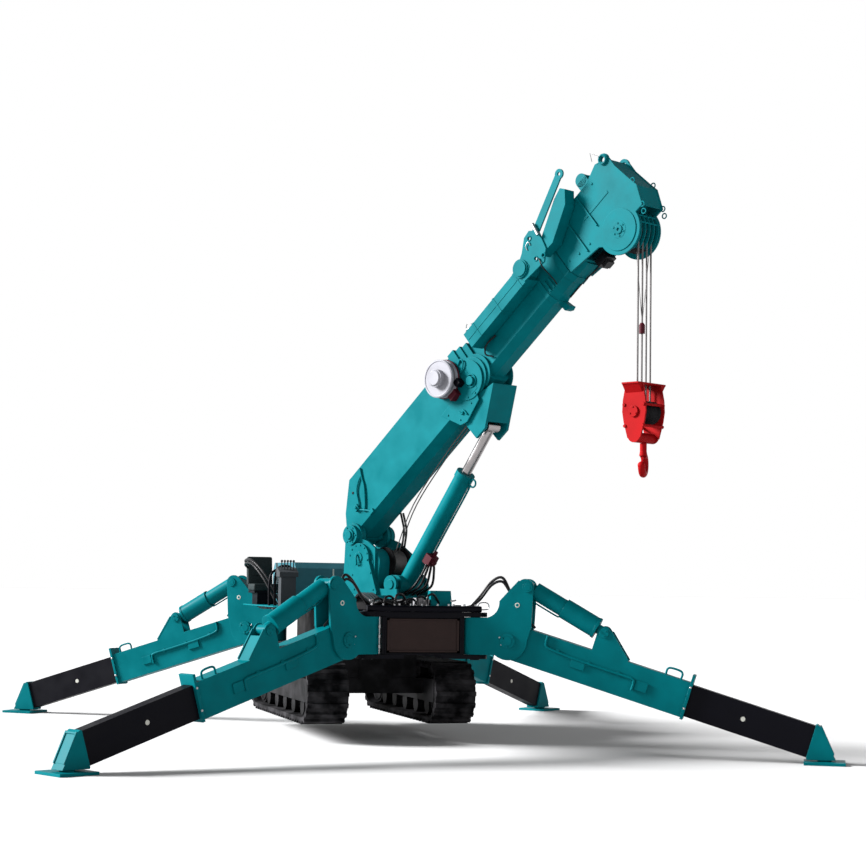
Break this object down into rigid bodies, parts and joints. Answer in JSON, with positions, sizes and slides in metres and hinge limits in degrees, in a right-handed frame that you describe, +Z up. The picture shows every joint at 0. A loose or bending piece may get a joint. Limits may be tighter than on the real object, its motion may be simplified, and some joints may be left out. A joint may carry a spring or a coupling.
{
  "type": "crawler crane",
  "caption": "Teal crawler crane with a telescopic boom and a red hook block, standing on spread outriggers",
  "frame": {"origin": "on the ground, at the middle of the box round the four outrigger pads", "axes": "+Z up, -Y to the front of the machine, +X to the right seen from the front"},
  "size_m": [7.0492, 7.43, 5.3476],
  "materials": {
    "teal_paint": "gloss enamel",
    "black_paint": "satin black",
    "rubber": "dusty black rubber",
    "dark_steel": "dark worn steel",
    "slate_paint": "slate grey paint",
    "seat_cover": "dark grey vinyl",
    "grey_plastic": "light grey",
    "chrome": "hard chrome rod",
    "wire": "wire rope",
    "red_paint": "red enamel"
  },
  "bodies": {
    "carrier": {"chassis": "black_paint", "deck": "teal_paint", "slew_ring": "dark_steel", "track_left": "rubber", "track_right": "rubber", "undercarriage": "dark_steel", "hood": "slate_paint", "engine": "dark_steel", "seat": "seat_cover", "console": "grey_plastic", "valve_gear": "black_paint"},
    "turret": {"turret": "teal_paint"},
    "winch": {"winch_drum": "dark_steel"},
    "boom": {"boom_base": "teal_paint", "cable_reel": "grey_plastic"},
    "second_section": {"boom_2": "teal_paint"},
    "third_section": {"boom_3": "teal_paint"},
    "tip_section": {"boom_tip": "teal_paint", "boom_head": "teal_paint", "jib": "teal_paint"},
    "head_sheaves": {"head_sheaves": "dark_steel"},
    "luff_barrel": {"luff_barrel": "teal_paint"},
    "luff_rod": {"luff_rod": "chrome"},
    "hoist": {"ropes": "wire"},
    "block": {"hook_block": "red_paint"},
    "block_sheaves": {"block_sheaves": "dark_steel"},
    "hook": {"hook": "red_paint"},
    "bracket_fl": {"bracket_fl": "teal_paint"},
    "arm_fl": {"arm_fl": "teal_paint"},
    "ext_fl": {"ext_fl": "black_paint", "foot_fl": "teal_paint"},
    "barrel_fl": {"barrel_fl": "teal_paint"},
    "rod_fl": {"rod_fl": "teal_paint"},
    "bracket_fr": {"bracket_fr": "teal_paint"},
    "arm_fr": {"arm_fr": "teal_paint"},
    "ext_fr": {"ext_fr": "black_paint", "foot_fr": "teal_paint"},
    "barrel_fr": {"barrel_fr": "teal_paint"},
    "rod_fr": {"rod_fr": "teal_paint"},
    "bracket_rl": {"bracket_rl": "teal_paint"},
    "arm_rl": {"arm_rl": "teal_paint"},
    "ext_rl": {"ext_rl": "black_paint", "foot_rl": "teal_paint"},
    "barrel_rl": {"barrel_rl": "teal_paint"},
    "rod_rl": {"rod_rl": "teal_paint"},
    "bracket_rr": {"bracket_rr": "teal_paint"},
    "arm_rr": {"arm_rr": "teal_paint"},
    "ext_rr": {"ext_rr": "black_paint", "foot_rr": "teal_paint"},
    "barrel_rr": {"barrel_rr": "teal_paint"},
    "rod_rr": {"rod_rr": "teal_paint"}
  },
  "joints": [
    {"name": "slew", "type": "hinge", "parent": "carrier", "child": "turret", "pos_m": [0, -0.67, 1.377], "axis": [0, 0, 1], "continuous": true},
    {"name": "winch_spin", "type": "hinge", "parent": "turret", "child": "winch", "pos_m": [0.02, -0.70464, 1.725], "axis": [-0.866, -0.5, 0], "continuous": true},
    {"name": "luff", "type": "hinge", "parent": "turret", "child": "boom", "pos_m": [-0.112, -0.47601, 1.987], "axis": [-0.866, -0.5, 0], "range_deg": [-40.2, 35.8]},
    {"name": "telescope_2", "type": "slide", "parent": "boom", "child": "second_section", "axis": [0.3819, -0.6615, 0.6455], "range_m": [0, 1.25]},
    {"name": "telescope_3", "type": "slide", "parent": "second_section", "child": "third_section", "axis": [0.3819, -0.6615, 0.6455], "range_m": [0, 1.25]},
    {"name": "telescope_tip", "type": "slide", "parent": "third_section", "child": "tip_section", "axis": [0.3819, -0.6615, 0.6455], "range_m": [0, 1.25]},
    {"name": "head_sheave_spin", "type": "hinge", "parent": "tip_section", "child": "head_sheaves", "pos_m": [1.49504, -3.25948, 4.64419], "axis": [-0.866, -0.5, 0], "continuous": true},
    {"name": "rope_hang", "type": "hinge", "parent": "tip_section", "child": "hoist", "pos_m": [1.49504, -3.25948, 4.64419], "axis": [-0.866, -0.5, 0], "range_deg": [-36.3, 40.7]},
    {"name": "hoist", "type": "slide", "parent": "hoist", "child": "block", "axis": [0, 0, -1], "range_m": [-0.36, 0], "deforming": ["ropes"]},
    {"name": "block_sheave_spin", "type": "hinge", "parent": "block", "child": "block_sheaves", "pos_m": [1.57719, -3.40177, 3.04], "axis": [-0.866, -0.5, 0], "continuous": true},
    {"name": "hook_swivel", "type": "hinge", "parent": "block", "child": "hook", "pos_m": [1.57719, -3.40177, 2.77], "axis": [0, 0, 1], "continuous": true},
    {"name": "luff_barrel_turn", "type": "hinge", "parent": "turret", "child": "luff_barrel", "pos_m": [0.15, -0.92981, 1.515], "axis": [-0.866, -0.5, 0], "range_deg": [-40.64, 36.3]},
    {"name": "luff_rod_slide", "type": "slide", "parent": "luff_barrel", "child": "luff_rod", "axis": [0.2937, -0.5087, 0.8093], "range_m": [-0.4639, 0.4137]},
    {"name": "swing_fl", "type": "hinge", "parent": "carrier", "child": "bracket_fl", "pos_m": [-0.507, -2.02153, 0.885], "axis": [0, 0, 1], "range_deg": [0, 62.4]},
    {"name": "lift_fl", "type": "hinge", "parent": "bracket_fl", "child": "arm_fl", "pos_m": [-0.79058, -2.16979, 1.02032], "axis": [-0.4633, 0.8862, 0], "range_deg": [0, 30]},
    {"name": "extend_fl", "type": "slide", "parent": "arm_fl", "child": "ext_fl", "axis": [0.8475, 0.4431, 0.2924], "range_m": [0, 0.94]},
    {"name": "barrel_turn_fl", "type": "hinge", "parent": "bracket_fl", "child": "barrel_fl", "pos_m": [-0.94744, -2.25179, 1.50732], "axis": [-0.4633, 0.8862, 0], "range_deg": [-0.5, 33.02]},
    {"name": "rod_slide_fl", "type": "slide", "parent": "barrel_fl", "child": "rod_fl", "axis": [0.7677, 0.4013, 0.4996], "range_m": [-0.005, 0.2717]},
    {"name": "swing_fr", "type": "hinge", "parent": "carrier", "child": "bracket_fr", "pos_m": [0.507, -2.02153, 0.885], "axis": [0, 0, -1], "range_deg": [0, 62.4]},
    {"name": "lift_fr", "type": "hinge", "parent": "bracket_fr", "child": "arm_fr", "pos_m": [0.79058, -2.16979, 1.02032], "axis": [-0.4633, -0.8862, 0], "range_deg": [0, 30]},
    {"name": "extend_fr", "type": "slide", "parent": "arm_fr", "child": "ext_fr", "axis": [-0.8475, 0.4431, 0.2924], "range_m": [0, 0.94]},
    {"name": "barrel_turn_fr", "type": "hinge", "parent": "bracket_fr", "child": "barrel_fr", "pos_m": [0.94744, -2.25179, 1.50732], "axis": [-0.4633, -0.8862, 0], "range_deg": [-0.5, 33.02]},
    {"name": "rod_slide_fr", "type": "slide", "parent": "barrel_fr", "child": "rod_fr", "axis": [-0.7677, 0.4013, 0.4996], "range_m": [-0.005, 0.2717]},
    {"name": "swing_rl", "type": "hinge", "parent": "carrier", "child": "bracket_rl", "pos_m": [-0.601, 1.56542, 0.885], "axis": [0, 0, -1], "range_deg": [0, 52.7]},
    {"name": "lift_rl", "type": "hinge", "parent": "bracket_rl", "child": "arm_rl", "pos_m": [-0.85555, 1.75933, 1.02032], "axis": [0.606, 0.7955, 0], "range_deg": [0, 30]},
    {"name": "extend_rl", "type": "slide", "parent": "arm_rl", "child": "ext_rl", "axis": [0.7607, -0.5795, 0.2924], "range_m": [0, 0.94]},
    {"name": "barrel_turn_rl", "type": "hinge", "parent": "bracket_rl", "child": "barrel_rl", "pos_m": [-0.99635, 1.86659, 1.50732], "axis": [0.606, 0.7955, 0], "range_deg": [-0.5, 33.02]},
    {"name": "rod_slide_rl", "type": "slide", "parent": "barrel_rl", "child": "rod_rl", "axis": [0.6891, -0.525, 0.4996], "range_m": [-0.005, 0.2717]},
    {"name": "swing_rr", "type": "hinge", "parent": "carrier", "child": "bracket_rr", "pos_m": [0.601, 1.56542, 0.885], "axis": [0, 0, 1], "range_deg": [0, 52.7]},
    {"name": "lift_rr", "type": "hinge", "parent": "bracket_rr", "child": "arm_rr", "pos_m": [0.85555, 1.75933, 1.02032], "axis": [0.606, -0.7955, 0], "range_deg": [0, 30]},
    {"name": "extend_rr", "type": "slide", "parent": "arm_rr", "child": "ext_rr", "axis": [-0.7607, -0.5795, 0.2924], "range_m": [0, 0.94]},
    {"name": "barrel_turn_rr", "type": "hinge", "parent": "bracket_rr", "child": "barrel_rr", "pos_m": [0.99635, 1.86659, 1.50732], "axis": [0.606, -0.7955, 0], "range_deg": [-0.5, 33.02]},
    {"name": "rod_slide_rr", "type": "slide", "parent": "barrel_rr", "child": "rod_rr", "axis": [-0.6891, -0.525, 0.4996], "range_m": [-0.005, 0.2717]}
  ],
  "couplings": [
    {"joint": "telescope_3", "follows": "telescope_2", "ratio": 1},
    {"joint": "telescope_tip", "follows": "telescope_2", "ratio": 1},
    {"joint": "rope_hang", "follows": "luff", "ratio": -1},
    {"joint": "luff_barrel_turn", "follows": "luff", "ratio": 0.98603},
    {"joint": "luff_rod_slide", "follows": "luff", "m_per_rad": 0.65407},
    {"joint": "barrel_turn_fl", "follows": "lift_fl", "ratio": 1.0838},
    {"joint": "rod_slide_fl", "follows": "lift_fl", "m_per_rad": 0.50934},
    {"joint": "barrel_turn_fr", "follows": "lift_fr", "ratio": 1.0838},
    {"joint": "rod_slide_fr", "follows": "lift_fr", "m_per_rad": 0.50934},
    {"joint": "barrel_turn_rl", "follows": "lift_rl", "ratio": 1.0838},
    {"joint": "rod_slide_rl", "follows": "lift_rl", "m_per_rad": 0.50934},
    {"joint": "barrel_turn_rr", "follows": "lift_rr", "ratio": 1.0838},
    {"joint": "rod_slide_rr", "follows": "lift_rr", "m_per_rad": 0.50934}
  ]
}
